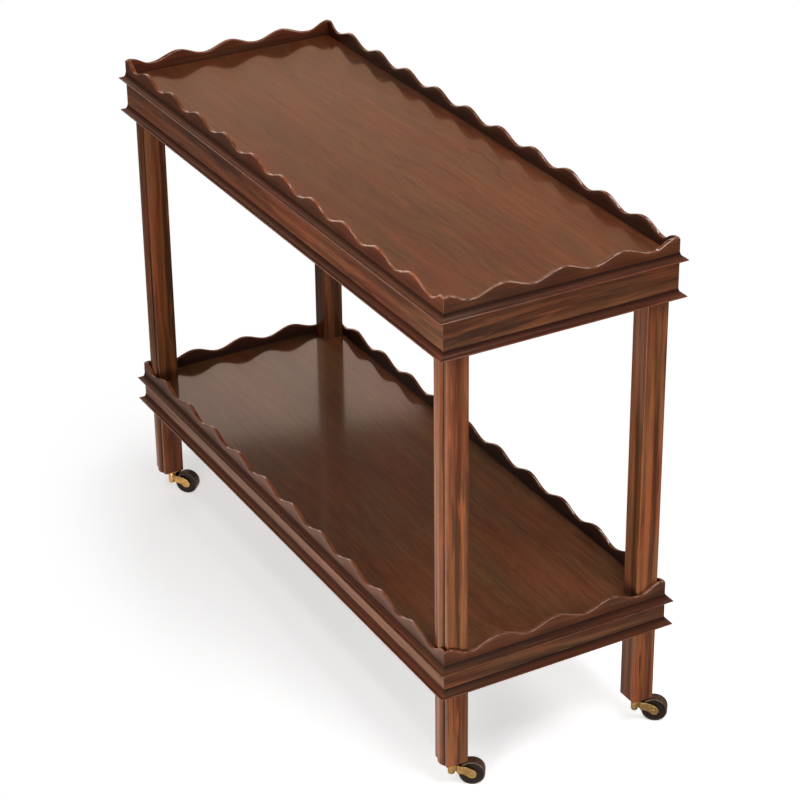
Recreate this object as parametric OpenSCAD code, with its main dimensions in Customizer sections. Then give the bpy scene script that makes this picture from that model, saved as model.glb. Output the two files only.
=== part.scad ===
// Two-tier serving trolley: scalloped galleries, coved mouldings, square beaded legs, brass casters.
// Millimetres, +Z up, +X along the trays, -Y the front. The floor is at z = 0.

/* [Trays] */
// Length over the galleries
tray_l = 917; // [700:1:1100]
// Width over the galleries
tray_w = 335; // [280:1:450]
// Height of the top board's surface above the floor
top_z = 691.5; // [600:0.5:800]
// Height of the lower board's surface above the floor
low_z = 198; // [150:0.5:300]
// Thickness of the boards
board_t = 9.5; // [8:0.5:12]

/* [Galleries] */
// Thickness of the gallery strips
gallery_t = 5; // [4:0.5:7]
// Height of a crest above the board
crest_h = 23; // [16:0.5:35]
// Height of a trough above the board
trough_h = 12; // [5:0.5:14]
// Length of one wave
wave_pitch = 85.5; // [60:0.5:110]
// Shortest run from the last trough to a corner
end_run = 25; // [20:1:35]
// Part of the end run that stays low before it rises
end_low = 0.1; // [0:0.02:0.2]
// Part of the end run that stays high at the corner
end_high = 0.12; // [0:0.02:0.2]
// How far the upper edge is rounded down at a corner
tip_ease = 1.8; // [0:0.1:3]
// Length of that rounding
tip_run = 6; // [3:0.5:10]

/* [Friezes and mouldings] */
// Thickness of the frieze rails
frieze_t = 18; // [14:0.5:24]
// Distance between the two mouldings of the top tray
top_frieze_h = 49.4; // [40:0.1:70]
// Distance between the two mouldings of the lower tray
low_frieze_h = 35.2; // [30:0.1:60]
// How far the mouldings stand out
moulding_out = 8.3; // [5:0.1:12]
// Thickness of a moulding's nose
nose_t = 1.8; // [1:0.1:3]
// Height of a moulding under its nose
under_h = 3.2; // [2:0.1:5]
// Height of a moulding's cove
cove_h = 8.4; // [4:0.1:10]
// Top edge of the upper moulding above the board's surface
cove_rise = 2.5; // [0:0.1:3]

/* [Legs] */
// Width of a square leg
leg_w = 31.2; // [28:0.1:45]
// From the tray's end face to the leg
leg_inset = 6.6; // [6:0.1:12]
// Width of the bead on the long-side face
bead_w = 19; // [12:0.5:22]
// How far the bead stands out
bead_out = 3.4; // [2:0.1:5]
// Width and depth of the groove each side of the bead
quirk = 0.8; // [0.4:0.1:1.2]

/* [Joinery] */
// Glue gap between the wooden pieces
glue_gap = 0.1; // [0.05:0.05:0.2]
// Diameter of the dowels between rail and leg
dowel_d = 6; // [4:0.5:8]
// Length of a dowel
dowel_l = 26; // [16:1:28]
// Distance between the two dowels of a joint
dowel_pitch = 16; // [10:1:20]
// Room at the end of a dowel
dowel_room = 1; // [0.5:0.5:2]

/* [Caster plates and screws] */
// Height of a foot above the floor
foot_z = 36; // [36:0.5:45]
// Width of the square plate
plate_w = 24; // [22:0.5:26]
// Thickness of the plate
plate_t = 1.6; // [1.2:0.1:2]
// Distance between the plate's screws
screw_pitch = 16; // [15:0.5:17]
// Diameter of a screw's shank
screw_d = 2.8; // [2:0.1:3.5]
// Diameter of a screw's head
screw_head_d = 5.2; // [4.5:0.1:6]
// Depth of a screw's head
screw_head_h = 1.1; // [0.8:0.1:1.2]
// Length of a screw in the leg
screw_l = 13; // [8:1:20]

/* [Swivels] */
// From a leg's middle to its swivel, along the trays
caster_in_x = 2; // [0:0.1:3]
// From a leg's middle to its swivel, across the trays
caster_in_y = 0.8; // [0:0.1:3]
// Headings at rest from the length of the trays, in degrees: front right wheel
heading_front_right = 57; // [53:0.1:90]
// Front left wheel
heading_front_left = 45; // [30:0.1:90]
// Back right wheel
heading_back_right = 52.6; // [52.6:0.1:90]
// Back left wheel
heading_back_left = 49; // [30:0.1:90]
// Diameter of the swivel pin
pin_d = 5; // [4:0.1:5.4]
// Diameter of the pin's two heads
pin_head_d = 7; // [6.5:0.1:7.4]
// Thickness of the pin's heads
pin_head_h = 1.4; // [1:0.1:2]
// Diameter of the boss
boss_d = 9.8; // [9.4:0.1:14]
// Height of the boss's lower end above the floor
boss_z = 12.5; // [10:0.5:15]
// Bevel round the boss's lower end
boss_bevel = 0.6; // [0.5:0.1:1.2]
// Depth of the pin's recess in the boss
boss_recess = 2.6; // [2.4:0.1:4]
// Running gap round the pin and the axle
run_gap = 0.05; // [0.02:0.01:0.08]
// Gap between moving faces
face_gap = 0.3; // [0.2:0.05:0.5]

/* [Horns and wheels] */
// Distance from the swivel to the axle
trail = 26.8; // [26:0.1:27]
// Diameter of a wheel
wheel_d = 35; // [33:0.1:35]
// Width of a wheel
wheel_w = 14.5; // [12:0.5:14.5]
// Rounding of the wheel's edges
wheel_edge = 1.2; // [1:0.1:2]
// Inner radius of the wheel's rim ring
rim_r = 14.6; // [10:0.1:15]
// Depth of the dished face inside the rim
dish = 1.2; // [0.5:0.1:2]
// Radius of the wheel's hub
hub_r = 4.6; // [3:0.1:6]
// Diameter of the axle
axle_d = 3.2; // [2:0.1:4]
// Thickness of a cheek
cheek_t = 2; // [1.5:0.1:3]
// Gap between the wheel and a cheek
cheek_gap = 0.4; // [0.3:0.05:0.8]
// Height of the arms where they leave the boss
arm_h = 11; // [8:0.1:12]
// Middle of the arms above the floor where they leave the boss
arm_z = 22.9; // [21:0.1:24]
// Height that the arms bow towards
bow_z = 25.4; // [22:0.1:26]
// Distance from the swivel to the highest part of that bow
bow_x = 18.8; // [14:0.1:22]
// Radius of the arms' round ends
arm_end_r = 6.3; // [5:0.1:7]
// Width of the horn's neck behind the boss
neck_w = 7.4; // [6:0.1:9]
// Distance from the swivel at which the neck starts to widen
neck_x = 5; // [4.6:0.1:6]
// Distance from the swivel at which the horn has its full width
crown_x = 8.6; // [8:0.1:9]

/* [Hidden] */
FRONT = 0;
RIGHT = 1;
BACK = 2;
LEFT = 3;

wood = [0.36, 0.18, 0.11];
dark_wood = [0.29, 0.14, 0.09];
dowel_wood = [0.76, 0.62, 0.42];
brass = [0.62, 0.47, 0.25];
wheel_brown = [0.13, 0.08, 0.06];

wave_steps = 12;
end_steps = 16;
arc_steps = 8;
round_fn = 48;
// How far a cut runs past the piece that it cuts
past = 1;
// Step along an arm's line over which its slope is measured
slope_step = 0.01;

// The bead runs up against the inside of the gallery
leg_inset_y = gallery_t + bead_out;
leg_x = tray_l / 2 - leg_inset - leg_w / 2;
leg_y = tray_w / 2 - leg_inset_y - leg_w / 2;
leg_top = top_z - board_t;
bead_r = (bead_w * bead_w / 4 + bead_out * bead_out) / (2 * bead_out);

wheel_r = wheel_d / 2;
plate_z = foot_z - plate_t;
boss_top = plate_z - face_gap;
horn_w = wheel_w + 2 * (cheek_gap + cheek_t);
axle_z = wheel_r;

// The back wheels trail past the tray, so the part is moved to centre its outer box on the origin
function wheel_reach(heading) = leg_y - caster_in_y + (trail + wheel_r - wheel_edge) * sin(heading)
  + (wheel_w / 2 - wheel_edge) * cos(heading) + wheel_edge;
back_reach = max(wheel_reach(heading_back_right), wheel_reach(heading_back_left));
shift_y = -max(0, back_reach - tray_w / 2 - moulding_out) / 2;

// The four corners as signs of X and Y
front_right = [1, -1];
front_left = [-1, -1];
back_right = [1, 1];
back_left = [-1, 1];
corners = [front_right, front_left, back_right, back_left];
function heading_at(corner) = corner[0] > 0
  ? (corner[1] < 0 ? heading_front_right : heading_back_right)
  : (corner[1] < 0 ? heading_front_left : heading_back_left);

function side_length(side) = side % 2 == 0 ? tray_l : tray_w;
function side_offset(side) = side % 2 == 0 ? tray_w / 2 : tray_l / 2;
// Distance from the outer face of a side to the leg's flat face behind it
function leg_behind(side) = side % 2 == 0 ? leg_inset_y : leg_inset;
// Distance from the end of a side to the far face of the leg there
function leg_reach(side) = leg_w + (side % 2 == 0 ? leg_inset : leg_inset_y);

moulding_h = cove_h + nose_t + under_h;
top_rail_bottom = cove_rise - top_frieze_h - moulding_h;
low_rail_bottom = cove_rise - low_frieze_h - moulding_h;

// A half wave between two heights, for t from 0 to 1
function swell(t) = (1 - cos(180 * t)) / 2;
function wave_count(len) = floor((len - 2 * end_run) / wave_pitch);
// How far the edge is rounded down at a distance from the corner
function tip_drop(left) = tip_ease * (1 - sqrt(1 - pow(max(0, 1 - left / tip_run), 2)));
// Height of an end run, for t from 0 at the last trough to 1 at the corner
function end_height(t, run) =
  trough_h + (crest_h - trough_h) * swell(min(1, max(0, (t - end_low) / (1 - end_low - end_high))))
  - tip_drop(run * (1 - t));

// Upper edge of a gallery strip, from its left end to its right end
function gallery_edge(len) =
  let (count = wave_count(len), last = count * wave_pitch / 2, run = len / 2 - last)
  concat(
    [for (k = [0 : end_steps])
      [-len / 2 + run * k / end_steps, end_height(1 - k / end_steps, run)]],
    [for (k = [1 : count * wave_steps - 1])
      [-last + k * wave_pitch / wave_steps,
       trough_h + (crest_h - trough_h) * swell(2 * k / wave_steps)]],
    [for (k = [0 : end_steps])
      [last + run * k / end_steps, end_height(k / end_steps, run)]]);

// Section of a moulding: cove, round nose and bevelled underside, standing out towards -Y
moulding_section =
  let (nose_r = nose_t / 2, reach = moulding_out - nose_r)
  concat(
    [for (k = [0 : arc_steps])
      let (a = 90 * k / arc_steps)
      [-reach * (1 - cos(a)), -cove_h * sin(a)]],
    [for (k = [1 : arc_steps])
      let (a = 180 * k / arc_steps)
      [-reach - nose_r * sin(a), -cove_h - nose_r * (1 - cos(a))]],
    [[0, -moulding_h]]);

// Puts a piece drawn along X, with its outer face at y = 0, on one side of a tray at height z
module on_side(side, z) {
  translate([0, shift_y, z])
    rotate([0, 0, 90 * side])
      translate([0, -side_offset(side), 0])
        children();
}

// Keeps what lies between the two mitres of a side
module mitred(len, low, high) {
  depth = frieze_t + past;
  out = moulding_out + past;
  intersection() {
    children();
    translate([0, 0, low])
      linear_extrude(high - low)
        polygon([
          [-len / 2 - out, -out], [len / 2 + out, -out],
          [len / 2 - depth, depth], [-len / 2 + depth, depth]]);
  }
}

// Puts a piece drawn round the leg's axis at one corner
module at_corner(corner) {
  translate([corner[0] * leg_x, corner[1] * leg_y + shift_y, 0])
    children();
}

// Puts a caster's piece drawn round its swivel at one corner
module at_caster(corner) {
  translate([-corner[0] * caster_in_x, -corner[1] * caster_in_y, 0])
    at_corner(corner)
      children();
}

// Square shaft with its bead towards the nearer long side, grown all round by gap
module leg_shaft(corner, low, high, gap) {
  w = leg_w + 2 * gap;
  h = high - low;
  at_corner(corner)
    mirror([0, corner[1] > 0 ? 1 : 0, 0])
      translate([0, 0, low]) {
        translate([-w / 2, -w / 2, 0])
          cube([w, w, h]);
        intersection() {
          translate([0, bead_r - bead_out - leg_w / 2, 0])
            cylinder(r = bead_r + gap, h = h, $fn = round_fn);
          translate([-bead_w / 2 - gap, -w / 2 - bead_out, 0])
            cube([bead_w + 2 * gap, w / 2, h]);
        }
      }
}

// Dowels of one rail, or their bores with gap and room above zero
module rail_dowels(side, z, bottom, gap, room) {
  middle = (bottom - board_t) / 2;
  depth = (leg_behind(side) + frieze_t) / 2;
  length = dowel_l + 2 * room;
  on_side(side, z)
    for (end = [-1, 1], step = [-0.5, 0.5])
      translate([end * (side_length(side) / 2 - leg_reach(side)), depth, middle + step * dowel_pitch])
        rotate([0, 90, 0])
          cylinder(d = dowel_d + 2 * gap, h = length, center = true, $fn = round_fn);
}

module all_dowels(gap, room) {
  for (side = [FRONT, RIGHT, BACK, LEFT]) {
    rail_dowels(side, top_z, top_rail_bottom, gap, room);
    rail_dowels(side, low_z, low_rail_bottom, gap, room);
  }
}

module top_board() {
  l = tray_l - 2 * (gallery_t + glue_gap);
  w = tray_w - 2 * (gallery_t + glue_gap);
  color(wood)
    translate([-l / 2, shift_y - w / 2, top_z - board_t])
      cube([l, w, board_t]);
}

module low_board() {
  l = tray_l - 2 * (gallery_t + glue_gap);
  w = tray_w - 2 * (gallery_t + glue_gap);
  color(wood)
    difference() {
      translate([-l / 2, shift_y - w / 2, low_z - board_t])
        cube([l, w, board_t]);
      for (corner = corners)
        leg_shaft(corner, low_z - board_t - past, low_z + past, glue_gap);
    }
}

module gallery(side, z) {
  len = side_length(side);
  color(dark_wood)
    on_side(side, z)
      mitred(len, -board_t - past, crest_h + past)
        translate([0, gallery_t, 0])
          rotate([90, 0, 0])
            linear_extrude(gallery_t)
              polygon(concat(gallery_edge(len), [[len / 2, -board_t], [-len / 2, -board_t]]));
}

module frieze(side, z, bottom) {
  len = side_length(side);
  color(wood)
    difference() {
      on_side(side, z)
        mitred(len, bottom, -board_t)
          translate([-len / 2, 0, bottom])
            cube([len, frieze_t, -board_t - bottom]);
      for (corner = corners)
        leg_shaft(corner, z + bottom - past, z - board_t + past, glue_gap);
      rail_dowels(side, z, bottom, glue_gap, dowel_room);
    }
}

module moulding(side, z) {
  len = side_length(side) + 2 * moulding_out;
  color(dark_wood)
    on_side(side, z)
      mitred(side_length(side), -moulding_h - past, past)
        translate([-len / 2, 0, 0])
          rotate([90, 0, 90])
            linear_extrude(len)
              polygon(moulding_section);
}

module leg(corner) {
  color(wood)
    difference() {
      leg_shaft(corner, foot_z, leg_top, 0);
      at_corner(corner)
        mirror([0, corner[1] > 0 ? 1 : 0, 0])
          for (edge = [-1, 1])
            translate([edge * (bead_w + quirk) / 2 - quirk / 2, -leg_w / 2 - past, foot_z - past])
              cube([quirk, quirk + past, leg_top - foot_z + 2 * past]);
      at_caster(corner) {
        translate([0, 0, foot_z - past])
          cylinder(d = pin_head_d + 2 * glue_gap, h = pin_head_h + glue_gap + past, $fn = round_fn);
        plate_screw_places()
          translate([0, 0, plate_z])
            cylinder(d = screw_d + 2 * glue_gap, h = plate_t + screw_l + glue_gap, $fn = round_fn);
      }
      all_dowels(glue_gap, dowel_room);
    }
}

module dowels() {
  color(dowel_wood)
    all_dowels(0, 0);
}

module plate_screw_places() {
  for (x = [-0.5, 0.5], y = [-0.5, 0.5])
    translate([x * screw_pitch, y * screw_pitch, 0])
      children();
}

// Countersunk screw with its flat head level with the plate's underside, grown all round by gap
module plate_screw(gap) {
  translate([0, 0, plate_z])
    cylinder(d1 = screw_head_d + 2 * gap, d2 = screw_d + 2 * gap, h = screw_head_h, $fn = round_fn);
  translate([0, 0, plate_z + screw_head_h])
    cylinder(d = screw_d + 2 * gap, h = plate_t + screw_l - screw_head_h, $fn = round_fn);
}

module caster_screws() {
  color(brass)
    for (corner = corners)
      at_caster(corner)
        plate_screw_places()
          plate_screw(0);
}

module caster_plate(corner) {
  color(brass)
    at_caster(corner)
      difference() {
        translate([-plate_w / 2, -plate_w / 2, plate_z])
          cube([plate_w, plate_w, plate_t]);
        plate_screw_places()
          plate_screw(run_gap);
        translate([0, 0, plate_z - past])
          cylinder(d = pin_d, h = plate_t + 2 * past, $fn = round_fn);
      }
}

module caster_pin(corner) {
  low = boss_z + boss_recess - face_gap - pin_head_h;
  color(brass)
    at_caster(corner) {
      translate([0, 0, low])
        cylinder(d = pin_head_d, h = pin_head_h, $fn = round_fn);
      translate([0, 0, low])
        cylinder(d = pin_d, h = foot_z - low, $fn = round_fn);
      translate([0, 0, foot_z])
        cylinder(d = pin_head_d, h = pin_head_h, $fn = round_fn);
    }
}

// Turns what is drawn with its trail along X to the rest heading at one corner
module trailing(corner) {
  at_caster(corner)
    rotate([0, 0, heading_at(corner)])
      children();
}

// Side outline of an arm: it leaves the boss level, bows over and ends round the axle
function arm_middle(t) =
  [2 * t * (1 - t) * bow_x + t * t * trail,
   (1 - t) * (1 - t) * arm_z + 2 * t * (1 - t) * bow_z + t * t * axle_z];
function arm_heading(t) =
  let (slope = arm_middle(min(1, t + slope_step)) - arm_middle(max(0, t - slope_step)))
  atan2(slope[1], slope[0]);
function arm_edge(t, up) =
  let (half = (1 - t) * arm_h / 2 + t * arm_end_r, a = arm_heading(t))
  arm_middle(t) + up * half * [-sin(a), cos(a)];
arm_outline = concat(
  [for (k = [0 : arc_steps]) arm_edge(k / arc_steps, 1)],
  [for (k = [1 : arc_steps - 1])
    let (a = arm_heading(1) + 90 - 180 * k / arc_steps)
    [trail, axle_z] + arm_end_r * [cos(a), sin(a)]],
  [for (k = [0 : arc_steps]) arm_edge(1 - k / arc_steps, -1)]);

module caster_horn(corner) {
  far = trail + arm_end_r + past;
  slot_w = wheel_w + 2 * cheek_gap;
  color(brass)
    trailing(corner)
      difference() {
        union() {
          translate([0, 0, boss_z + boss_bevel])
            cylinder(d = boss_d, h = boss_top - boss_z - boss_bevel, $fn = round_fn);
          translate([0, 0, boss_z])
            cylinder(d1 = boss_d - 2 * boss_bevel, d2 = boss_d, h = boss_bevel, $fn = round_fn);
          intersection() {
            translate([0, horn_w / 2, 0])
              rotate([90, 0, 0])
                linear_extrude(horn_w)
                  polygon(arm_outline);
            linear_extrude(foot_z)
              polygon([
                [0, -neck_w / 2], [neck_x, -neck_w / 2], [crown_x, -horn_w / 2], [far, -horn_w / 2],
                [far, horn_w / 2], [crown_x, horn_w / 2], [neck_x, neck_w / 2], [0, neck_w / 2]]);
          }
        }
        translate([trail, slot_w / 2, axle_z])
          rotate([90, 0, 0])
            cylinder(r = wheel_r + 2 * cheek_gap, h = slot_w, $fn = round_fn);
        translate([trail, horn_w, axle_z])
          rotate([90, 0, 0])
            cylinder(d = axle_d, h = 2 * horn_w, $fn = round_fn);
        translate([0, 0, boss_z - past])
          cylinder(d = pin_d + 2 * run_gap, h = boss_top - boss_z + 2 * past, $fn = round_fn);
        translate([0, 0, boss_z - past])
          cylinder(d = pin_head_d + 2 * face_gap, h = boss_recess + past, $fn = round_fn);
      }
}

module caster_axle(corner) {
  color(brass)
    trailing(corner)
      translate([trail, horn_w / 2, axle_z])
        rotate([90, 0, 0])
          cylinder(d = axle_d, h = horn_w, $fn = round_fn);
}

// Half section of a wheel, as radius and distance along the axle
wheel_half = wheel_w / 2;
wheel_section = concat(
  [[axle_d / 2 + run_gap, -wheel_half], [hub_r, -wheel_half],
   [hub_r + dish / 2, dish - wheel_half], [rim_r - dish / 2, dish - wheel_half], [rim_r, -wheel_half]],
  [for (k = [0 : arc_steps])
    let (a = 90 * k / arc_steps)
    [wheel_r - wheel_edge * (1 - sin(a)), -wheel_half + wheel_edge * (1 - cos(a))]],
  [for (k = [0 : arc_steps])
    let (a = 90 * k / arc_steps)
    [wheel_r - wheel_edge * (1 - cos(a)), wheel_half - wheel_edge * (1 - sin(a))]],
  [[rim_r, wheel_half], [rim_r - dish / 2, wheel_half - dish], [hub_r + dish / 2, wheel_half - dish],
   [hub_r, wheel_half], [axle_d / 2 + run_gap, wheel_half]]);

module caster_wheel(corner) {
  color(wheel_brown)
    trailing(corner)
      translate([trail, 0, axle_z])
        rotate([90, 0, 0])
          rotate_extrude($fn = 64)
            polygon(wheel_section);
}

module top_gallery(side) gallery(side, top_z);
module low_gallery(side) gallery(side, low_z);
module top_frieze(side) frieze(side, top_z, top_rail_bottom);
module low_frieze(side) frieze(side, low_z, low_rail_bottom);
module top_upper_moulding(side) moulding(side, top_z + cove_rise);
module top_lower_moulding(side) moulding(side, top_z + cove_rise - top_frieze_h);
module low_upper_moulding(side) moulding(side, low_z + cove_rise);
module low_lower_moulding(side) moulding(side, low_z + cove_rise - low_frieze_h);

top_board();
low_board();
top_gallery(FRONT);  // top_gallery_front
top_gallery(RIGHT);  // top_gallery_right
top_gallery(BACK);  // top_gallery_back
top_gallery(LEFT);  // top_gallery_left
low_gallery(FRONT);  // low_gallery_front
low_gallery(RIGHT);  // low_gallery_right
low_gallery(BACK);  // low_gallery_back
low_gallery(LEFT);  // low_gallery_left
top_frieze(FRONT);  // top_frieze_front
top_frieze(RIGHT);  // top_frieze_right
top_frieze(BACK);  // top_frieze_back
top_frieze(LEFT);  // top_frieze_left
low_frieze(FRONT);  // low_frieze_front
low_frieze(RIGHT);  // low_frieze_right
low_frieze(BACK);  // low_frieze_back
low_frieze(LEFT);  // low_frieze_left
top_upper_moulding(FRONT);  // top_upper_moulding_front
top_upper_moulding(RIGHT);  // top_upper_moulding_right
top_upper_moulding(BACK);  // top_upper_moulding_back
top_upper_moulding(LEFT);  // top_upper_moulding_left
top_lower_moulding(FRONT);  // top_lower_moulding_front
top_lower_moulding(RIGHT);  // top_lower_moulding_right
top_lower_moulding(BACK);  // top_lower_moulding_back
top_lower_moulding(LEFT);  // top_lower_moulding_left
low_upper_moulding(FRONT);  // low_upper_moulding_front
low_upper_moulding(RIGHT);  // low_upper_moulding_right
low_upper_moulding(BACK);  // low_upper_moulding_back
low_upper_moulding(LEFT);  // low_upper_moulding_left
low_lower_moulding(FRONT);  // low_lower_moulding_front
low_lower_moulding(RIGHT);  // low_lower_moulding_right
low_lower_moulding(BACK);  // low_lower_moulding_back
low_lower_moulding(LEFT);  // low_lower_moulding_left
leg(front_right);  // leg_front_right
leg(front_left);  // leg_front_left
leg(back_right);  // leg_back_right
leg(back_left);  // leg_back_left
dowels();
caster_screws();
caster_plate(front_right);  // caster_plate_front_right
caster_plate(front_left);  // caster_plate_front_left
caster_plate(back_right);  // caster_plate_back_right
caster_plate(back_left);  // caster_plate_back_left
caster_pin(front_right);  // caster_pin_front_right
caster_pin(front_left);  // caster_pin_front_left
caster_pin(back_right);  // caster_pin_back_right
caster_pin(back_left);  // caster_pin_back_left
caster_horn(front_right);  // caster_horn_front_right
caster_horn(front_left);  // caster_horn_front_left
caster_horn(back_right);  // caster_horn_back_right
caster_horn(back_left);  // caster_horn_back_left
caster_axle(front_right);  // caster_axle_front_right
caster_axle(front_left);  // caster_axle_front_left
caster_axle(back_right);  // caster_axle_back_right
caster_axle(back_left);  // caster_axle_back_left
caster_wheel(front_right);  // caster_wheel_front_right
caster_wheel(front_left);  // caster_wheel_front_left
caster_wheel(back_right);  // caster_wheel_back_right
caster_wheel(back_left);  // caster_wheel_back_left
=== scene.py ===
import math
import random

import bmesh
import bpy
from mathutils import Matrix, Vector


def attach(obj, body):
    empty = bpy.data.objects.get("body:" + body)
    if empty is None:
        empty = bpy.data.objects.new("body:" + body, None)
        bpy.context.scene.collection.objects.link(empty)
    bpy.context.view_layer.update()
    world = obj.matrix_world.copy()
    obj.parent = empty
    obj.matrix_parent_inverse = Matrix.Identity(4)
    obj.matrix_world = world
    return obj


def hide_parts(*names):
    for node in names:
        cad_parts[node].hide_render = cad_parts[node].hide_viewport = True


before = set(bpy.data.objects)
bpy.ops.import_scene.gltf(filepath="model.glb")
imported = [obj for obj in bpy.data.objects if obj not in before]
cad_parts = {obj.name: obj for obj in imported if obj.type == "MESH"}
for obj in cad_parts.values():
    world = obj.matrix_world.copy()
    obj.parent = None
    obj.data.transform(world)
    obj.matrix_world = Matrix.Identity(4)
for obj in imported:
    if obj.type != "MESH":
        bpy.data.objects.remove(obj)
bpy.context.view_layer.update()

# Camera: it stands above the right front corner, as in the photograph, and looks down along the trays.
# A long lens with a little shift frames the whole trolley.
AZIMUTH, ELEVATION, ROLL = (math.radians(a) for a in (61.842, 26.631, -1.027))
STAND = (2.7268, -1.4863, 1.9939)

scene = bpy.context.scene
scene.view_settings.view_transform = "Standard"
camera_data = bpy.data.cameras.new("camera")
camera_data.sensor_width = 36
camera_data.lens = 112.92
camera_data.shift_x = 0.0421
camera_data.shift_y = -0.0921
camera_data.clip_end = 100
camera = bpy.data.objects.new("camera", camera_data)
scene.collection.objects.link(camera)
scene.camera = camera
back = Vector((math.sin(AZIMUTH) * math.cos(ELEVATION), -math.cos(AZIMUTH) * math.cos(ELEVATION),
               math.sin(ELEVATION)))
level = Vector((math.cos(AZIMUTH), math.sin(AZIMUTH), 0))
upward = back.cross(level)
right = level * math.cos(ROLL) + upward * math.sin(ROLL)
above = upward * math.cos(ROLL) - level * math.sin(ROLL)
camera.matrix_world = Matrix.Translation(STAND) @ Matrix((right, above, back)).transposed().to_4x4()

# Boards: two flat mahogany panels with a figured face, stained and lacquered to a gloss that mirrors
# the galleries. Each lies inside its gallery on the rails; the lower one is let in round the legs.
MM = 0.001


class Shade:
    """One shader socket that takes part in Python sums."""

    def __init__(self, tree, socket=None):
        self.tree = tree
        self.socket = socket

    def node(self, kind, settings=None, inputs=None, output=0):
        made = self.tree.nodes.new(kind)
        for name, value in (settings or {}).items():
            if name == "stops":
                ramp = made.color_ramp
                while len(ramp.elements) < len(value):
                    ramp.elements.new(1)
                for element, (place, shown) in zip(ramp.elements, value):
                    element.position = place
                    element.color = shown
            else:
                setattr(made, name, value)
        for name, value in (inputs or {}).items():
            if isinstance(value, Shade):
                self.tree.links.new(value.socket, made.inputs[name])
            else:
                made.inputs[name].default_value = value
        return Shade(self.tree, made.outputs[output])

    def feed(self, shader, name):
        """Joins the value to a socket of a shader."""
        self.tree.links.new(self.socket, shader.inputs[name])

    def sum(self, operation, *values):
        return self.node("ShaderNodeMath", {"operation": operation}, dict(enumerate(values)))

    def __add__(self, other):
        return self.sum("ADD", self, other)

    def __radd__(self, other):
        return self.sum("ADD", other, self)

    def __sub__(self, other):
        return self.sum("SUBTRACT", self, other)

    def __rsub__(self, other):
        return self.sum("SUBTRACT", other, self)

    def __mul__(self, other):
        return self.sum("MULTIPLY", self, other)

    def __rmul__(self, other):
        return self.sum("MULTIPLY", other, self)

    def between(self, low, high):
        """0 below low, 1 above high, smooth in between; turned round where low is above high."""
        return self.node("ShaderNodeMapRange", {"interpolation_type": "SMOOTHSTEP"},
                         {"Value": self, "From Min": low, "From Max": high})


def new_finish(name):
    """A material with one Principled shader, and a Shade to build its nodes with."""
    material = bpy.data.materials.new(name)
    material.use_nodes = True
    return material, material.node_tree.nodes["Principled BSDF"], Shade(material.node_tree)


def noise(shade, vector, scale, detail, roughness=0.5):
    return shade.node("ShaderNodeTexNoise", {}, {"Vector": vector, "Scale": scale, "Detail": detail,
                      "Roughness": roughness}, "Fac")


def stretched(shade, vector, along, across, through, offset=(0, 0, 0)):
    """The point scaled by its own frequency along the grain, across it and through the piece."""
    return shade.node("ShaderNodeMapping", {}, {"Vector": vector, "Scale": (along, across, through),
                      "Location": offset}, "Vector")


def mixed(shade, factor, first, second, blend="MIX"):
    """Two colours mixed; 0, 6 and 7 are the places of the factor and the colours on a Mix node."""
    return shade.node("ShaderNodeMix", {"data_type": "RGBA", "blend_type": blend},
                      {0: factor, 6: first, 7: second}, 2)


def colour(red, green, blue):
    return (red, green, blue, 1)


def bumped(shade, shader, height, strength, distance):
    """A fine relief on the surface, from a height between about 0 and 1."""
    relief = shade.node("ShaderNodeBump", {}, {"Strength": strength, "Distance": distance,
                        "Height": height}, "Normal")
    relief.feed(shader, "Normal")


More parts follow.
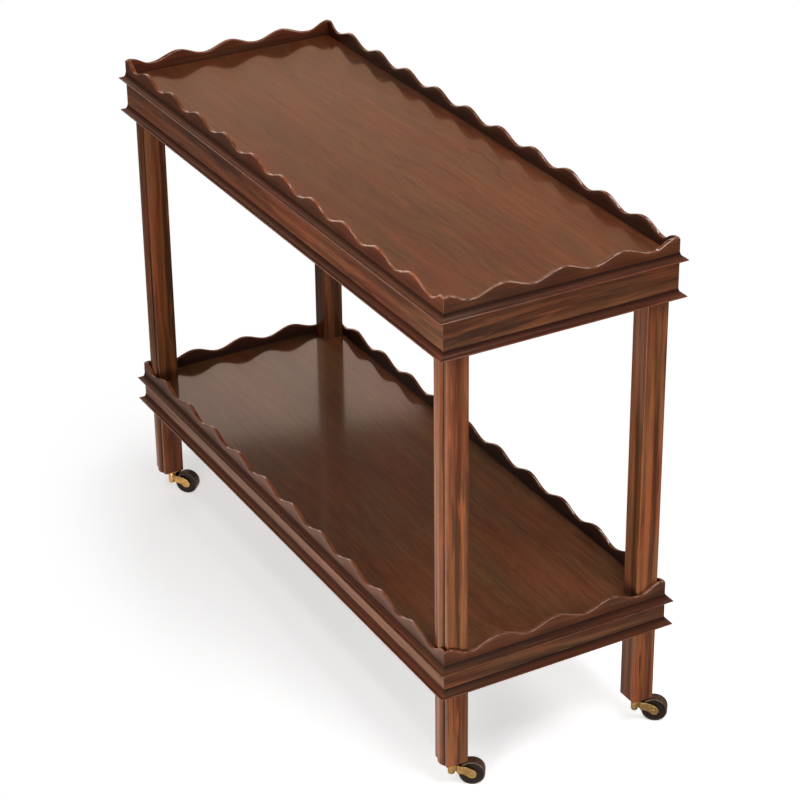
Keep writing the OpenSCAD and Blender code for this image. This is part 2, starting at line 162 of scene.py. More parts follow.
def mahogany(name, grain, seed, tone, bend, bands, streaks, coat, coat_roughness=0.1, wear_and_shade=None):
    """Stained, lacquered mahogany. grain gives the point in metres with X along the grain. bend is how far
    the grain wanders in metres, bands the strength of its broad stripes, streaks that of its red flecks.
    The last argument gives two masks: arrises painted lighter as wear and a painted highlight, and painted
    shade."""
    material, shader, shade = new_finish(name)
    light = colour(*[c * 1.7 for c in tone])
    deep = colour(*[c * 0.42 for c in tone])
    darkest = colour(*[c * 0.3 for c in tone])
    ruddy = colour(tone[0] * 1.9, tone[1] * 1.75, tone[2] * 1.6)
    rubbed_and_lit = colour(tone[0] * 3.0, tone[1] * 3.2, tone[2] * 3.6)
    painted_shade_colour = colour(tone[0] * 0.1, tone[1] * 0.17, tone[2] * 0.4)
    cooler = colour(0.94, 1.1, 1.1)
    warmer = colour(1.1, 0.92, 0.86)

    def figure(line, along, across, offset, detail, roughness=0.5):
        """Noise drawn out along the grain; along and across are its frequencies a metre."""
        return noise(shade, stretched(shade, line, along, across, across, offset), 1.0, detail, roughness)

    # The grain line: it drifts slowly and ripples a little on its way
    point = grain(shade)
    place = (seed * 3.7, seed * 1.9, seed * 2.3)
    other = (place[1], place[2], place[0])
    drift = figure(point, 2.6, 5, place, 2.0) - 0.5
    ripple = figure(point, 9, 20, place, 2.0) - 0.5
    wander = drift * bend + ripple * (bend * 0.3)
    shift = shade.node("ShaderNodeCombineXYZ", {}, {"Y": wander, "Z": wander})
    bent = shade.node("ShaderNodeVectorMath", {"operation": "ADD"}, {0: point, 1: shift})

    # Stripes, fibres and clouds set the depth of the stain; warmth turns it redder or browner
    stripe = figure(bent, 2.4, 95, place, 3.0)
    fibre = figure(bent, 14, 520, place, 3.0, 0.6)
    cloud = figure(bent, 3.5, 11, other, 2.0)
    depth = 0.5 + (stripe - 0.5) * bands + (fibre - 0.5) * 0.6 + (cloud - 0.5) * 0.45
    wood = shade.node("ShaderNodeValToRGB", {"stops": [(0.22, deep), (0.5, colour(*tone)), (0.78, light)]},
                      {"Fac": depth})
    warmth = figure(bent, 5, 26, other, 2.0).between(0.35, 0.65)
    wood = mixed(shade, warmth, mixed(shade, 1.0, wood, cooler, "MULTIPLY"),
                 mixed(shade, 1.0, wood, warmer, "MULTIPLY"))

    # Flecks: short red and dark streaks
    fleck = figure(bent, 10, 150, other, 1.5)
    wood = mixed(shade, fleck.between(0.58, 0.78) * streaks, wood, ruddy)
    wood = mixed(shade, fleck.between(0.4, 0.26) * (streaks * 0.9), wood, deep)

    # Ring lines: thin dark contours where the cut runs out of the growth rings, 15 of them a metre
    across = shade.node("ShaderNodeSeparateXYZ", {}, {"Vector": bent}, "Y")
    height = across * 30 + figure(point, 2.2, 7, place, 1.0) * 5
    ring = shade.sum("PINGPONG", height, 1.0)
    here = figure(point, 6, 13, other, 1.0)
    line = ring.between(0.06, 0.0) * here.between(0.53, 0.62) * (streaks * 0.8)
    wood = mixed(shade, line, wood, darkest)

    # Pores: fine dark dashes that also roughen the lacquer
    pores = figure(bent, 110, 2600, place, 1.0).between(0.36, 0.26)
    wood = mixed(shade, pores * 0.4, wood, darkest)
    (0.36 + fibre * 0.14 + pores * 0.12).feed(shader, "Roughness")
    bumped(shade, shader, fibre * 0.4 - pores * 0.6, 0.25, 0.2 * MM)
    shader.inputs["Specular IOR Level"].default_value = 0.1
    shader.inputs["Coat Weight"].default_value = coat
    shader.inputs["Coat Roughness"].default_value = coat_roughness
    shader.inputs["Coat IOR"].default_value = 1.5
    if wear_and_shade:
        # Arrises lighter: wear and a painted highlight. Corners, recesses and inside faces: painted shade,
        # lacquer dulled there.
        edge, recess = wear_and_shade(shade)
        bare_and_lit = edge * figure(point, 60, 190, place, 3.0).between(0.3, 0.6)
        wood = mixed(shade, bare_and_lit * 0.35, wood, rubbed_and_lit)
        wood = mixed(shade, recess * 0.9, wood, painted_shade_colour)
        polish = (coat + edge * (1 - coat)) * recess.between(0.5, 0.0)
        polish.feed(shader, "Coat Weight")
    wood.feed(shader, "Base Color")
    return material


def grain_of_frame(turn):
    """Grain that follows the frame's own axes: turn 0 along X, 90 along Y."""
    def grain(shade):
        point = shade.node("ShaderNodeTexCoord", {}, {}, "Object")
        return shade.node("ShaderNodeMapping", {}, {"Vector": point,
                          "Rotation": (0, 0, math.radians(-turn))}, "Vector")
    return grain


def dress(node, finish):
    """Gives a piece that keeps its shape its finish."""
    node.data.materials.clear()
    node.data.materials.append(finish)


board_looks = {"top": (3, (0.093, 0.0265, 0.009), 0.55), "low": (8, (0.118, 0.041, 0.0165), 0.35)}
for tier, (seed, tone, streaks) in board_looks.items():
    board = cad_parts[tier + "_board"]
    dress(board, mahogany(tier + " board wood", grain_of_frame(0), seed, tone, bend=0.05, bands=0.35,
                          streaks=streaks, coat=1.0))

# Galleries: a thin scalloped strip on each side of each tray, mitred at the corners. The upper edge is
# rounded over, so it catches a bright line, also painted in lighter; the strips are glued on the rails round
# the board.
TRAY_L, TRAY_W = 917 * MM, 335 * MM
SHIFT_Y = -3.0069 * MM
TOP_Z, LOW_Z = 691.5 * MM, 198 * MM
GALLERY_T = 5 * MM
CREST_H, TROUGH_H = 23 * MM, 12 * MM
WAVE_PITCH = 85.5 * MM
END_RUN, END_LOW, END_HIGH = 25 * MM, 0.1, 0.12
TIP_EASE, TIP_RUN = 1.8 * MM, 6 * MM
SEAT = -9.5 * MM
RIM_R, RIM_H = 1.7 * MM, 2.6 * MM
MITRE_RUN, MITRE_IN, FACE_T = 0.6 * MM, 0.25 * MM, 2 * MM
# Painted shade at the foot of the strip: where it sets in outside and inside, and how high it rises inside
SHADE_OUT, SHADE_IN, SHADE_H = 0.3 * MM, 0.2 * MM, 3 * MM
sides = {"front": 0, "right": 1, "back": 2, "left": 3}


def side_length(side):
    return TRAY_L if sides[side] % 2 == 0 else TRAY_W


def swell(t):
    """A smooth rise from 0 to 1 and, beyond 1, back again."""
    return (1 - math.cos(math.pi * t)) / 2


def gallery_height(x, length):
    """Height of the scalloped edge above the board at a distance x from the middle of the side."""
    last = math.floor((length - 2 * END_RUN) / WAVE_PITCH) * WAVE_PITCH / 2
    rise = CREST_H - TROUGH_H
    beyond = abs(x) - last
    if beyond <= 0:
        return TROUGH_H + rise * swell(2 * (x + last) / WAVE_PITCH)
    run = length / 2 - last
    t = (beyond / run - END_LOW) / (1 - END_LOW - END_HIGH)
    tip = max(0, 1 - (run - beyond) / TIP_RUN)
    return TROUGH_H + rise * swell(min(1, max(0, t))) - TIP_EASE * (1 - math.sqrt(1 - min(1, tip) ** 2))


def gallery_section(length, inner_shade):
    """Outline of a gallery strip: flat faces with the upper edge rounded over. The last argument sets how
    dark the inside is painted, as shade.
    """
    inner = max(0, inner_shade * 2 - 1)
    turns = [math.pi / 2 * k / 6 for k in range(7)]

    def under_edge(depth, drop, edge, shade_share=0):
        return lambda x: (depth, gallery_height(x, length) - drop, edge, shade_share)

    # Each corner: depth, height, wear with a painted highlight on the rounded rim, and painted shade at the
    # foot and inside.
    corners = [lambda x: (0, SEAT, 0, 0), lambda x: (0, SHADE_OUT, 0, 0.5), under_edge(0, RIM_H, 0)]
    for a in turns:
        corners.append(under_edge(RIM_R * (1 - math.cos(a)), RIM_R * (1 - math.sin(a)),
                                  math.sin(min(2 * a, math.pi / 2))))
    for k, a in enumerate(turns):
        corners.append(under_edge(GALLERY_T - RIM_R * (1 - math.sin(a)), RIM_R * (1 - math.cos(a)),
                                  math.sin(min(math.pi - 2 * a, math.pi / 2)), inner * k / 6))
    corners.append(under_edge(GALLERY_T, RIM_H, 0, inner))
    corners.append(lambda x: (GALLERY_T, gallery_height(x, length) * 0.6, 0, inner_shade))
    corners.append(lambda x: (GALLERY_T, SHADE_H, 0, inner_shade + 0.1))
    corners.append(lambda x: (GALLERY_T, SHADE_IN, 0, 0.95))
    corners.append(lambda x: (GALLERY_T, SEAT, 0, 1))
    return corners


def loft(mesh, rings):
    """Skins a row of like rings of vertices and closes its two ends."""
    n = len(rings[0])
    for a, b in zip(rings, rings[1:]):
        for k in range(n):
            mesh.faces.new((a[k], a[(k + 1) % n], b[(k + 1) % n], b[k]))
    mesh.faces.new(rings[0])
    mesh.faces.new(rings[-1][::-1])


def as_data(name, mesh):
    """The finished skin with all its faces outwards."""
    bmesh.ops.recalc_face_normals(mesh, faces=mesh.faces)
    data = bpy.data.meshes.new(name)
    mesh.to_mesh(data)
    mesh.free()
    return data


def note_grain(data, notes):
    """Keeps with each vertex its place in the board it was cut from, its wear with a painted highlight, and
    its painted shade.
    """
    grain = data.attributes.new("grain", "FLOAT_VECTOR", "POINT")
    grain.data.foreach_set("vector", [c for note in notes for c in note[:3]])
    for k, name in ((3, "edge"), (4, "recess")):
        layer = data.attributes.new(name, "FLOAT", "POINT")
        layer.data.foreach_set("value", [note[k] for note in notes])


def grain_of_piece(shade):
    return shade.node("ShaderNodeAttribute", {"attribute_name": "grain"}, {}, "Vector")


# The two masks: wear with a painted highlight, and painted shade.
def wear_and_shade_of_piece(shade):
    return (shade.node("ShaderNodeAttribute", {"attribute_name": "edge"}, {}, "Fac"),
            shade.node("ShaderNodeAttribute", {"attribute_name": "recess"}, {}, "Fac"))


def fitted(data, placing, angle):
    """Moves a finished skin to its place as a piece, smooth where its faces meet at less than angle."""
    data.transform(placing)
    piece = bpy.data.objects.new(data.name, data)
    scene.collection.objects.link(piece)
    for face in data.polygons:
        face.use_smooth = True
    data.set_sharp_from_angle(angle=math.radians(angle))
    return piece


def strip(name, side, z, section, pitch, grain_seed):
    """A mitred strip on one side of a tray. section lists its outline as functions of x, each giving
    depth behind the tray's face, height, wear with a painted highlight at an arris and painted shade in a
    corner. The arris of each mitre is eased back by MITRE_IN at the very end."""
    length = side_length(side)
    count = round(length / pitch)
    ends = [1 - 2 * run / length for run in (2.5 * MITRE_RUN, MITRE_RUN)]
    shares = [-1, *[-share for share in ends[::-1]], *[2 * k / count - 1 for k in range(1, count)], *ends, 1]
    mesh = bmesh.new()
    rings = []
    notes = []
    for share in shares:
        near = max(0, 1 - (1 - abs(share)) * length / 2 / MITRE_RUN)
        ring = []
        for corner in section:
            depth, height, edge, shade_share = corner(share * length / 2)
            x = share * (length / 2 - depth)
            if depth < FACE_T:
                depth += MITRE_IN * near * near
            ring.append(mesh.verts.new((x, depth, height)))
            notes.append((x + grain_seed, depth, height, edge, shade_share))
        rings.append(ring)
    loft(mesh, rings)
    data = as_data(name, mesh)
    note_grain(data, notes)
    offset = (TRAY_W if sides[side] % 2 == 0 else TRAY_L) / 2
    return fitted(data, Matrix.Translation((0, SHIFT_Y, z))
                  @ Matrix.Rotation(math.pi / 2 * sides[side], 4, "Z")
                  @ Matrix.Translation((0, -offset, 0)), 40)


# One tone a side: front and left strips lighter, right and back darker, as painted light and shade on one
# wood.
trim_tones = {"front": (0.140, 0.041, 0.0160), "right": (0.086, 0.0265, 0.0105),
              "back": (0.092, 0.027, 0.0110), "left": (0.128, 0.037, 0.0145)}
trim_wood = {side: mahogany(side + " trim wood", grain_of_piece, 5, trim_tones[side], bend=0.012, bands=0.7,
                            streaks=0.3, coat=0.32, coat_roughness=0.08, wear_and_shade=wear_and_shade_of_piece)
             for side in sides}
draw = random.Random(11)
# The last number: how dark the inside faces are painted as shade, far darker on the low tray under the top
# one.
for tier, z, inner_shade in (("top", TOP_Z, 0.4), ("low", LOW_Z, 0.95)):
    for side in sides:
        piece = strip(f"{tier}_{side}_gallery", side, z, gallery_section(side_length(side), inner_shade),
                      pitch=4 * MM, grain_seed=draw.uniform(0, 9))
        piece.data.materials.append(trim_wood[side])
        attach(piece, "trolley")
        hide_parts(f"{tier}_gallery_{side}")

# Mouldings: one strip section used four times round each tray: a small fillet, a hollow cove and a thin
# round nose, bevelled back underneath. Glued to the faces of the galleries and rails, mitred.
MOULDING_OUT = 8.3 * MM
FILLET_OUT, FILLET_H = 0.5 * MM, 0.25 * MM
NOSE_T, UNDER_H, COVE_H = 1.8 * MM, 3.2 * MM, 8.4 * MM
COVE_RISE = 2.5 * MM
LET_IN = 0.2 * MM
COVE_STEPS, NOSE_STEPS = 13, 9
frieze_h = {"top": 49.4 * MM, "low": 35.2 * MM}


def moulding_section():
    """Outline of the moulding, standing out from the tray's face towards negative depth."""
    nose = NOSE_T / 2
    reach = MOULDING_OUT - nose
    foot = -COVE_H - NOSE_T - UNDER_H
    # Each point: depth, height, the nose painted lighter as wear and a painted highlight, and painted shade
    # at the top of the cove and under the nose.
    points = [(LET_IN, 0, 0, 1), (-FILLET_OUT * 0.4, 0, 0, 0.95), (-FILLET_OUT, -FILLET_H, 0.1, 0.9)]
    for k in range(1, COVE_STEPS + 1):
        a = math.pi / 2 * k / COVE_STEPS
        points.append((-FILLET_OUT - (reach - FILLET_OUT) * (1 - math.cos(a)),
                       -FILLET_H - (COVE_H - FILLET_H) * math.sin(a),
                       max(0, k + 1 - COVE_STEPS), max(0.35, 1.05 - k / 10)))
    for k in range(1, NOSE_STEPS + 1):
        a = math.pi * k / NOSE_STEPS
        points.append((-reach - nose * math.sin(a), -COVE_H - nose * (1 - math.cos(a)),
                       1 - k / NOSE_STEPS, 0))
    points += [(-reach * 0.5, foot + UNDER_H * 0.5, 0, 0.5), (0, foot, 0, 0.9), (LET_IN, foot, 0, 1)]
    return [lambda x, p=p: p for p in points]


for tier, board_z in (("top", TOP_Z), ("low", LOW_Z)):
    for place, z in (("upper", board_z + COVE_RISE), ("lower", board_z + COVE_RISE - frieze_h[tier])):
        for side in sides:
            piece = strip(f"{tier}_{side}_{place}_moulding", side, z, moulding_section(),
                          pitch=20 * MM, grain_seed=draw.uniform(0, 9))
            piece.data.materials.append(trim_wood[side])
            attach(piece, "trolley")
            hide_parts(f"{tier}_{place}_moulding_{side}")

# Friezes: the rails under the galleries, straight-grained, mitred outside the legs and housed round them.
# Their arrises are just broken with paper, so each corner shows a fine lit line and its mitre.
# The long rails lighter than the end rails: painted light and shade on one wood.
rail_tones = {"top": ((0.190, 0.057, 0.022), (0.092, 0.029, 0.0115)),
              "low": ((0.215, 0.072, 0.030), (0.088, 0.030, 0.012))}
rail_bands = (1.3, 2.0)


def break_arrises(node, name, width, angle):
    bevel = node.modifiers.new(name, "BEVEL")
    bevel.width = width
    bevel.segments = 2
    bevel.limit_method = "ANGLE"
    bevel.angle_limit = math.radians(angle)


for side, number in sides.items():
    end_rail = number % 2
    for tier in ("top", "low"):
        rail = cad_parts[f"{tier}_frieze_{side}"]
        dress(rail, mahogany(f"{tier} {side} rail wood", grain_of_frame(90 * end_rail), 20 + number,
                             rail_tones[tier][end_rail], bend=0.03, bands=rail_bands[end_rail],
                             streaks=0.7, coat=0.35))
        break_arrises(rail, "broken arrises", 0.4 * MM, 40)

# Legs: square posts from the top board to the feet, with one raised bead between two quirks on the face
# towards the nearer long side. Planed mahogany with the grain upright and softened arrises.
LEG_W, BEAD_W, BEAD_OUT, QUIRK = 31.2 * MM, 19 * MM, 3.4 * MM, 0.8 * MM
LEG_X, LEG_Y = 436.3 * MM, 143.5 * MM
FOOT_Z, LEG_TOP = 36 * MM, 682 * MM
LEG_SOFT, FOOT_SOFT = 0.7 * MM, 0.5 * MM
LIP_W, LIP_D = 0.25 * MM, 0.2 * MM


def leg_outline():
    """Plan of a leg with its bead towards -Y: points with wear and painted highlight, and with painted
    shade.
    """
    half = LEG_W / 2
    middle = half - LEG_SOFT

    def soft_corner(x, y, start):
        """A quarter turn about its centre, painted lightest halfway as wear and a highlight."""
        arc = []
        for k in range(5):
            a = math.radians(start + 90 * k / 4)
            arc.append((x + LEG_SOFT * math.cos(a), y + LEG_SOFT * math.sin(a),
                        math.sin(math.pi * k / 4), 0))
        return arc

    edge = BEAD_W / 2
    radius = (edge * edge + BEAD_OUT * BEAD_OUT) / (2 * BEAD_OUT)
    spread = math.asin(edge / radius)
    # The bead is painted lighter towards its crown as wear and a highlight, and darker at its feet as shade;
    # the quirks are painted as shade, their lips lighter.
    bead = []
    for k in range(17):
        a = -spread + 2 * spread * k / 16
        end = abs(k - 8) / 8
        bead.append((radius * math.sin(a), -half - BEAD_OUT + radius * (1 - math.cos(a)), 0.35 * (1 - end),
                     max(0, end * 4 - 3.1)))
    wall = -edge - QUIRK
    quirk = [(wall - LIP_W, -half, 0.8, 0), (wall, -half + LIP_D, 0, 0.7),
             (wall, -half + QUIRK, 0, 1), (-edge, -half + QUIRK, 0, 1)]
    return (soft_corner(middle, middle, 0) + soft_corner(-middle, middle, 90)
            + soft_corner(-middle, -middle, 180) + quirk + bead
            + [(-x, y, wear_and_lit, shade_share) for x, y, wear_and_lit, shade_share in quirk[::-1]] + soft_corner(middle, -middle, 270))


def leg(name, sx, sy, grain_seed):
    """A leg with its foot chamfered, turned so that the bead faces the nearer long side."""
    shaft = FOOT_Z + FOOT_SOFT
    levels = [(FOOT_Z, 1), (shaft, 0)] + [(shaft + (LEG_TOP - shaft) * k / 12, 0) for k in range(1, 13)]
    mesh = bmesh.new()
    rings = []
    notes = []
    for z, chamfer in levels:
        shrink = 1 - chamfer * FOOT_SOFT / (LEG_W / 2)
        ring = []
        for x, y, edge, shade_share in leg_outline():
            ring.append(mesh.verts.new((x * shrink, y * shrink, z)))
            notes.append((z + grain_seed, x, y, max(edge, chamfer), shade_share))
        rings.append(ring)
    loft(mesh, rings)
    data = as_data(name, mesh)
    note_grain(data, notes)
    turn = Matrix.Rotation(math.pi if sy > 0 else 0, 4, "Z")
    return fitted(data, Matrix.Translation((sx * LEG_X, sy * LEG_Y + SHIFT_Y, 0)) @ turn, 35)


# Each leg's share of one tone, then its lacquer weight: the far legs darker, most of all the back left,
# partly the wood's own variation and partly painted shade.
leg_looks = {"front_right": (0.92, 0.28), "front_left": (0.85, 0.12), "back_right": (0.82, 0.28),
             "back_left": (0.55, 0.2)}
corners = {"front_right": (1, -1), "front_left": (-1, -1), "back_right": (1, 1), "back_left": (-1, 1)}
for corner, (sx, sy) in corners.items():
    strength, coat = leg_looks[corner]
    tone = [c * strength for c in (0.19, 0.059, 0.0205)]
    leg_wood = mahogany(corner + " leg wood", grain_of_piece, 31, tone, bend=0.008, bands=2.1, streaks=0.9,
                        coat=coat, coat_roughness=0.14, wear_and_shade=wear_and_shade_of_piece)
    piece = leg(corner + "_leg", sx, sy, draw.uniform(0, 9))
    piece.data.materials.append(leg_wood)
    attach(piece, "trolley")
    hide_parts("leg_" + corner)

# Dowels: plain beech pins glued between the rails and the legs, out of sight in the finished trolley.
# Left unstained, with a fine straight grain.
beech, shader, shade = new_finish("beech")
point = shade.node("ShaderNodeTexCoord", {}, {}, "Object")
fleck = noise(shade, stretched(shade, point, 300, 300, 900), 1.0, 3.0)
pale = mixed(shade, fleck.between(0.35, 0.65), colour(0.50, 0.34, 0.19), colour(0.62, 0.46, 0.28))
pale.feed(shader, "Base Color")
shader.inputs["Roughness"].default_value = 0.6
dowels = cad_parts["dowels"]
dress(dowels, beech)


# Caster plates, screws and pins: stamped brass plates screwed under the feet, with a riveted swivel pin
# through the middle. The brass has aged to a dull golden brown.
def aged_brass(name, bright, dull, stain):
    """Brass with clouds of dull tarnish and small brown specks, both rougher than the bright metal."""
    material, shader, shade = new_finish(name)
    point = shade.node("ShaderNodeTexCoord", {}, {}, "Object")
    cloud = noise(shade, point, 130.0, 4.0, 0.6)
    speck = noise(shade, point, 900.0, 2.0, 0.6)
    metal = mixed(shade, cloud.between(0.35, 0.65), colour(*bright), colour(*dull))
    metal = mixed(shade, speck.between(0.55, 0.72) * 0.6, metal, colour(*stain))
    metal.feed(shader, "Base Color")
    (0.2 + cloud * 0.2 + speck * 0.08).feed(shader, "Roughness")
    bumped(shade, shader, cloud + speck * 0.5, 0.3, 0.1 * MM)
    shader.inputs["Metallic"].default_value = 1.0
    return material


brass = aged_brass("aged brass", (0.44, 0.29, 0.11), (0.28, 0.175, 0.06), (0.10, 0.05, 0.02))
for corner in corners:
    for part in ("plate", "pin"):
        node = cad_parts[f"caster_{part}_{corner}"]
        dress(node, brass)
    break_arrises(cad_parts["caster_plate_" + corner], "stamped edge", 0.2 * MM, 50)
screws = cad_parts["caster_screws"]
dress(screws, brass)

# Horns: cast brass arms with a round boss that turns on the pin. Two cheeks bow out and down from the
# boss and end round the axle; the edges are fettled smooth.
CASTER_X, CASTER_Y = LEG_X - 2 * MM, LEG_Y - 0.8 * MM
TRAIL, AXLE_Z = 26.8 * MM, 17.5 * MM
ARM_H, ARM_Z, BOW_Z, BOW_X, ARM_END_R = 11 * MM, 22.9 * MM, 25.4 * MM, 18.8 * MM, 6.3 * MM
HORN_HALF, SLOT_HALF = 9.65 * MM, 7.65 * MM
NECK_HALF, NECK_X, CROWN_X = 3.7 * MM, 5 * MM, 8.6 * MM
SLOT_START, SLOT_RUN = 9.2 * MM, 2.2 * MM
CHEEK_SOFT = 0.55 * MM
headings = {"front_right": 57, "front_left": 45, "back_right": 52.6, "back_left": 49}
# Half section of the boss as radius and height in mm: the pin's bore, a groove near the top and, at the
# foot, a well for the rivet head
boss = [(2.55, 34.1), (4.2, 34.1), (4.7, 33.8), (4.9, 33.3), (4.9, 31.6), (4.5, 31.2), (4.5, 30.6),
        (4.9, 30.2), (4.9, 14.6), (4.75, 13.6), (4.4, 12.8), (4.05, 12.5), (3.8, 12.7), (3.8, 15.1),
        (2.55, 15.1)]


def lathe(mesh, profile, turns):
    """Adds the closed profile, as radius and height, turned about Z."""
    rings = []
    for k in range(turns):
        a = 2 * math.pi * k / turns
        rings.append([mesh.verts.new((r * math.cos(a), r * math.sin(a), h)) for r, h in profile])
    n = len(profile)
    for k in range(turns):
        a, b = rings[k], rings[(k + 1) % turns]
        for j in range(n):
            mesh.faces.new((a[j], b[j], b[(j + 1) % n], a[(j + 1) % n]))


def arm_point(t):
    """Middle line of the arm: it bows up and out from the boss and comes down to the axle."""
    return Vector((2 * t * (1 - t) * BOW_X + t * t * TRAIL,
                   (1 - t) ** 2 * ARM_Z + 2 * t * (1 - t) * BOW_Z + t * t * AXLE_Z))


def arm_stations():
    """Upper and lower points of the arm from the boss to the end round the axle."""
    found = []
    for k in range(25):
        t = k / 24
        middle = arm_point(t)
        slope = arm_point(min(1, t + 0.01)) - arm_point(max(0, t - 0.01))
        tilt = math.atan2(slope[1], slope[0])
        half = (1 - t) * ARM_H / 2 + t * ARM_END_R
        out = Vector((-math.sin(tilt), math.cos(tilt))) * half
        found.append((middle + out, middle - out))
    axle = Vector((TRAIL, AXLE_Z))
    for k in range(1, 12):
        turn = math.pi / 2 * k / 12
        found.append(tuple(axle + ARM_END_R * Vector((math.cos(a), math.sin(a)))
                           for a in (tilt + math.pi / 2 - turn, tilt - math.pi / 2 + turn)))
    return found


def cheek(mesh, hand):
    """One cheek of the horn as a bowed plate with rounded arrises, on the +Y or -Y side."""
    rings = []
    for upper, lower in arm_stations():
        middle, half = (upper + lower) / 2, (upper - lower) / 2
        widened = min(1, max(0, (middle[0] - NECK_X) / (CROWN_X - NECK_X)))
        slotted = min(1, max(0, (middle[0] - SLOT_START + SLOT_RUN) / SLOT_RUN))
        out = NECK_HALF + (HORN_HALF - NECK_HALF) * swell(widened)
        inner = SLOT_HALF * swell(slotted)
        share = min(1, CHEEK_SOFT / half.length)
        ring = []
        for way, first, last in ((1, out, inner), (-1, inner, out)):
            inwards = -CHEEK_SOFT if first > last else CHEEK_SOFT
            for k in range(4):
                a = math.pi / 2 * k / 3
                lift = 1 - share * (1 - math.sin(a))
                ring.append((middle + half * way * lift, first + inwards * (1 - math.cos(a))))
            for k in range(4):
                a = math.pi / 2 * k / 3
                lift = 1 - share * (1 - math.cos(a))
                ring.append((middle + half * way * lift, last - inwards * (1 - math.sin(a))))
        rings.append([mesh.verts.new((point[0], hand * y, point[1])) for point, y in ring])
    loft(mesh, rings)


def at_caster(corner):
    """From a caster drawn with its trail along X to its place and heading under a leg."""
    sx, sy = corners[corner]
    return (Matrix.Translation((sx * CASTER_X, sy * CASTER_Y + SHIFT_Y, 0))
            @ Matrix.Rotation(math.radians(headings[corner]), 4, "Z"))


cast_brass = aged_brass("cast brass", (0.50, 0.33, 0.13), (0.33, 0.21, 0.08), (0.12, 0.07, 0.03))
for corner in corners:
    mesh = bmesh.new()
    for hand in (1, -1):
        cheek(mesh, hand)
    lathe(mesh, [(r * MM, h * MM) for r, h in boss], 48)
    piece = fitted(as_data(corner + "_horn", mesh), at_caster(corner), 50)
    piece.data.materials.append(cast_brass)
    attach(piece, "swivel_" + corner)
    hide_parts("caster_horn_" + corner)

# Axles: short brass pins through the cheeks, closed at both ends with a low hammered dome.
# They turn with the horn and carry the wheel.
AXLE_R = 1.6 * MM
# One dome as radius and height in mm over the cheek's face
dome = [(0.02, 0.45), (0.9, 0.38), (1.7, 0.12), (1.9, 0)]


def on_axle(corner):
    """From a turned piece drawn about Z to its place on the axle."""
    return (at_caster(corner) @ Matrix.Translation((TRAIL, 0, AXLE_Z))
            @ Matrix.Rotation(math.pi / 2, 4, "X"))


for corner in corners:
    mesh = bmesh.new()
    head = [(r * MM, HORN_HALF + h * MM) for r, h in dome]
    lathe(mesh, head + [(AXLE_R, HORN_HALF), (AXLE_R, -HORN_HALF)] + [(r, -h) for r, h in head[::-1]], 24)
    piece = fitted(as_data(corner + "_axle", mesh), on_axle(corner), 40)
    piece.data.materials.append(brass)
    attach(piece, "swivel_" + corner)
    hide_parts("caster_axle_" + corner)

# Wheels: solid turned wheels of a very dark brown, with a rounded tread, a raised rim ring and a hub.
# The tread is a little scuffed and dusty, and turning lines run round the faces.
wheel_stuff, shader, shade = new_finish("dark wheel")
point = shade.node("ShaderNodeAttribute", {"attribute_name": "turned"}, {}, "Vector")
radius = shade.node("ShaderNodeSeparateXYZ", {}, {"Vector": point}, "X")
lines = shade.sum("SINE", radius * 9000)
scuff = noise(shade, shade.node("ShaderNodeTexCoord", {}, {}, "Object"), 320.0, 4.0, 0.6)
tread = radius.between(16.9 * MM, 17.4 * MM)
ring = radius.between(15.6 * MM, 16.2 * MM) * radius.between(17.2 * MM, 16.7 * MM)
stuff = mixed(shade, scuff.between(0.35, 0.7), colour(0.010, 0.006, 0.005), colour(0.019, 0.011, 0.008))
stuff = mixed(shade, tread * scuff.between(0.3, 0.55), stuff, colour(0.075, 0.036, 0.022))
# The raised rim ring painted lighter in patches: a painted highlight, partly wear.
stuff = mixed(shade, ring * scuff.between(0.3, 0.6) * 0.6, stuff, colour(0.30, 0.20, 0.13))
stuff.feed(shader, "Base Color")
(0.26 + scuff * 0.2 + tread * 0.15).feed(shader, "Roughness")
bumped(shade, shader, lines * 0.15 + scuff, 0.2, 0.1 * MM)
shader.inputs["Specular IOR Level"].default_value = 0.2


def wheel_profile():
    """Half section in mm from one hub face over the tread to the other: radius and place on the axle."""
    tread_r, face, soft = 17.5, 7.25, 1.2
    hub = [(1.65, face), (4.2, face), (4.6, 6.95), (5.2, 6.25), (6.4, 6.05)]
    rim = [(12.7, 6.05), (14.1, 6.25), (14.6, 6.95), (15.0, face), (16.1, face)]
    turns = [math.pi / 2 * k / 6 for k in range(1, 7)]
    edge = [(tread_r - soft * (1 - math.sin(a)), face - soft * (1 - math.cos(a))) for a in turns]
    half = hub + rim + edge + [(tread_r, 3.0)]
    return half + [(r, -y) for r, y in half[::-1]]


for corner in corners:
    mesh = bmesh.new()
    lathe(mesh, [(r * MM, y * MM) for r, y in wheel_profile()], 72)
    data = as_data(corner + "_wheel", mesh)
    turned = data.attributes.new("turned", "FLOAT_VECTOR", "POINT")
    turned.data.foreach_set("vector", [c for v in data.vertices
                                       for c in (math.hypot(v.co.x, v.co.y), v.co.z, 0)])
    piece = fitted(data, on_axle(corner), 40)
    piece.data.materials.append(wheel_stuff)
    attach(piece, "wheel_" + corner)
    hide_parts("caster_wheel_" + corner)

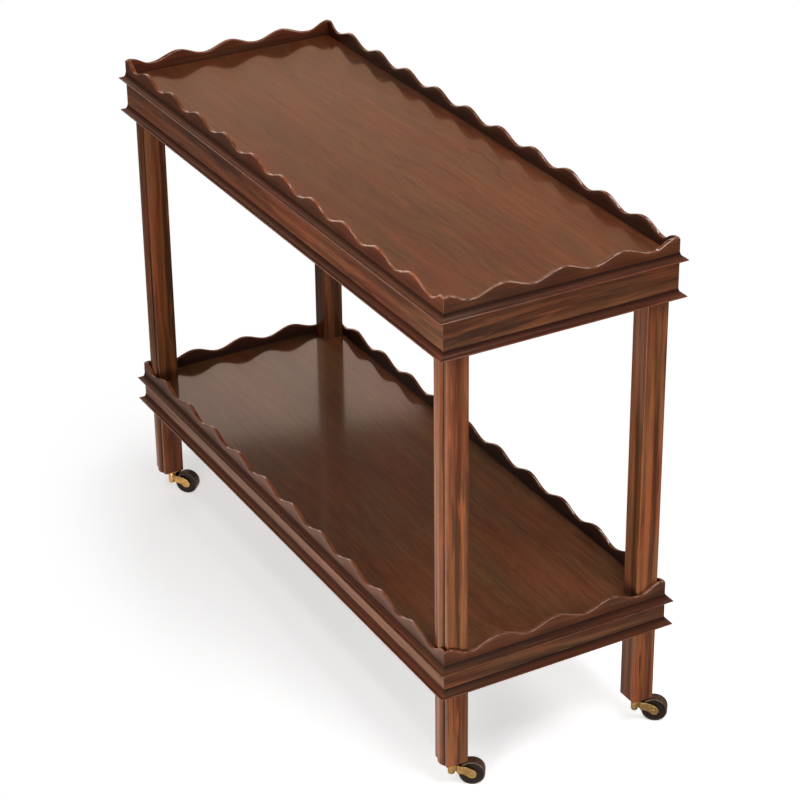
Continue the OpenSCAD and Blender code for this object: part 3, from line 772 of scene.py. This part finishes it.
# Floor: a plain pale studio floor that keeps the trolley's soft shadow and runs out to white.
# It is not part of the object.
REACH = 30.0
floor_data = bpy.data.meshes.new("floor")
floor_data.from_pydata([(-REACH, -REACH, 0), (REACH, -REACH, 0), (REACH, REACH, 0), (-REACH, REACH, 0)], [],
                       [(0, 1, 2, 3)])
floor = bpy.data.objects.new("floor", floor_data)
scene.collection.objects.link(floor)
paper = bpy.data.materials.new("pale floor")
paper.use_nodes = True
paper.node_tree.nodes.remove(paper.node_tree.nodes["Principled BSDF"])
shade = Shade(paper.node_tree)
camera_ray = shade.node("ShaderNodeLightPath", {}, {}, "Is Camera Ray")
glossy_ray = shade.node("ShaderNodeLightPath", {}, {}, "Is Glossy Ray")
clear_ray = shade.node("ShaderNodeLightPath", {}, {}, "Is Transmission Ray")
spot = shade.node("ShaderNodeTexCoord", {}, {}, "Object")

# Near the trolley: a matt paper that the camera sees lit from within, and that gloss mirrors in one pool
grey = mixed(shade, camera_ray, colour(0.26, 0.26, 0.26), colour(0.8, 0.8, 0.8))
matt = shade.node("ShaderNodeBsdfDiffuse", {}, {"Color": grey})
pool = shade.node("ShaderNodeVectorMath", {"operation": "DISTANCE"}, {0: spot, 1: (-0.1, -0.36, 0)},
                  "Value").between(0.9, 0.35)
mirrored = shade.sum("MAXIMUM", glossy_ray, clear_ray) * (0.1 + pool)
glow = mixed(shade, camera_ray, colour(1, 0.84, 0.72), colour(1, 1, 1))
lit = shade.node("ShaderNodeEmission", {}, {"Color": glow, "Strength": camera_ray * 0.55 + mirrored})
near = shade.node("ShaderNodeAddShader", {}, {0: matt, 1: lit})

# Further away, outside an oval: plain white for the camera
white = shade.node("ShaderNodeEmission", {}, {"Color": colour(1, 1, 1), "Strength": 1.0})
oval = stretched(shade, spot, 1, 1.9, 1)
away = shade.node("ShaderNodeVectorMath", {"operation": "LENGTH"}, {0: oval}, "Value").between(0.5, 0.85)
both = shade.node("ShaderNodeMixShader", {}, {0: camera_ray * away, 1: near, 2: white})
both.feed(paper.node_tree.nodes["Material Output"], "Surface")
floor_data.materials.append(paper)

# Light: a plain soft studio with a white surround and soft boxes: three overhead, one low at the front,
# one at the right end, one at the back and a warm one at the far end, which the boards mirror.
world = bpy.data.worlds.new("studio")
scene.world = world
world.use_nodes = True
world.node_tree.nodes.remove(world.node_tree.nodes["Background"])
shade = Shade(world.node_tree)
camera_ray = shade.node("ShaderNodeLightPath", {}, {}, "Is Camera Ray")
glossy_ray = shade.node("ShaderNodeLightPath", {}, {}, "Is Glossy Ray")
way = shade.node("ShaderNodeTexCoord", {}, {}, "Generated")
along = shade.node("ShaderNodeSeparateXYZ", {}, {"Vector": way}, "X")
across = shade.node("ShaderNodeSeparateXYZ", {}, {"Vector": way}, "Y")
high = shade.node("ShaderNodeSeparateXYZ", {}, {"Vector": way}, "Z")

# What gloss mirrors: a backdrop that is brighter low down, and a pale card at the far end
backdrop = 0.05 + high.between(0.49, 0.42) * 0.37 + high.between(0.42, 0.35) * 0.33
card = (along.between(-0.5, -0.6) * across.between(-0.6, -0.5) * across.between(0.25, 0.1)
        * high.between(0.3, 0.4) * high.between(0.7, 0.62))
light = glossy_ray * (backdrop + card * 2.5) + (1 - glossy_ray) * 0.13
strength = camera_ray + (1 - camera_ray) * light
plain = mixed(shade, high.between(0.36, 0.2), colour(1, 0.58, 0.36), colour(1, 0.8, 0.66))
warm = mixed(shade, card, plain, colour(1, 0.75, 0.6))
tint = mixed(shade, glossy_ray, colour(1, 1, 1), warm)
sky = shade.node("ShaderNodeBackground", {}, {"Color": tint, "Strength": strength})
sky.feed(world.node_tree.nodes["World Output"], "Surface")


def soft_box(name, place, aim, width, height, power, tint=(1, 1, 1)):
    """A rectangular lamp of that power in watts, out of the camera's sight."""
    data = bpy.data.lights.new(name, "AREA")
    data.shape = "RECTANGLE"
    data.size = width
    data.size_y = height
    data.energy = power
    data.color = tint
    lamp = bpy.data.objects.new(name, data)
    scene.collection.objects.link(lamp)
    lamp.location = place
    lamp.rotation_mode = "QUATERNION"
    lamp.rotation_quaternion = (Vector(aim) - Vector(place)).to_track_quat("-Z", "Y")
    lamp.visible_camera = False


soft_box("overhead", (1.1, 0.1, 1.7), (0.4, 0, 0.7), 0.8, 0.7, 14)
soft_box("main", (-0.1, 0.48, 2.05), (0.2, -0.1, 0.7), 0.7, 0.35, 7)
soft_box("rim", (0.1, -0.85, 2.0), (0.15, -0.17, 0.7), 0.3, 0.25, 4)
soft_box("front", (1.2, -1.3, 0.4), (0.35, -0.15, 0.45), 0.7, 0.5, 17)
soft_box("right side", (1.4, -0.1, 0.15), (0.45, 0.0, 0.15), 0.4, 0.3, 3.5)
soft_box("back", (0.4, 1.7, 2.0), (0.1, 0, 0.6), 0.9, 0.7, 14)
soft_box("far end", (-1.6, 0.45, 0.72), (-0.4, 0.2, 0.4), 0.9, 0.6, 2.0, (1, 0.78, 0.66))
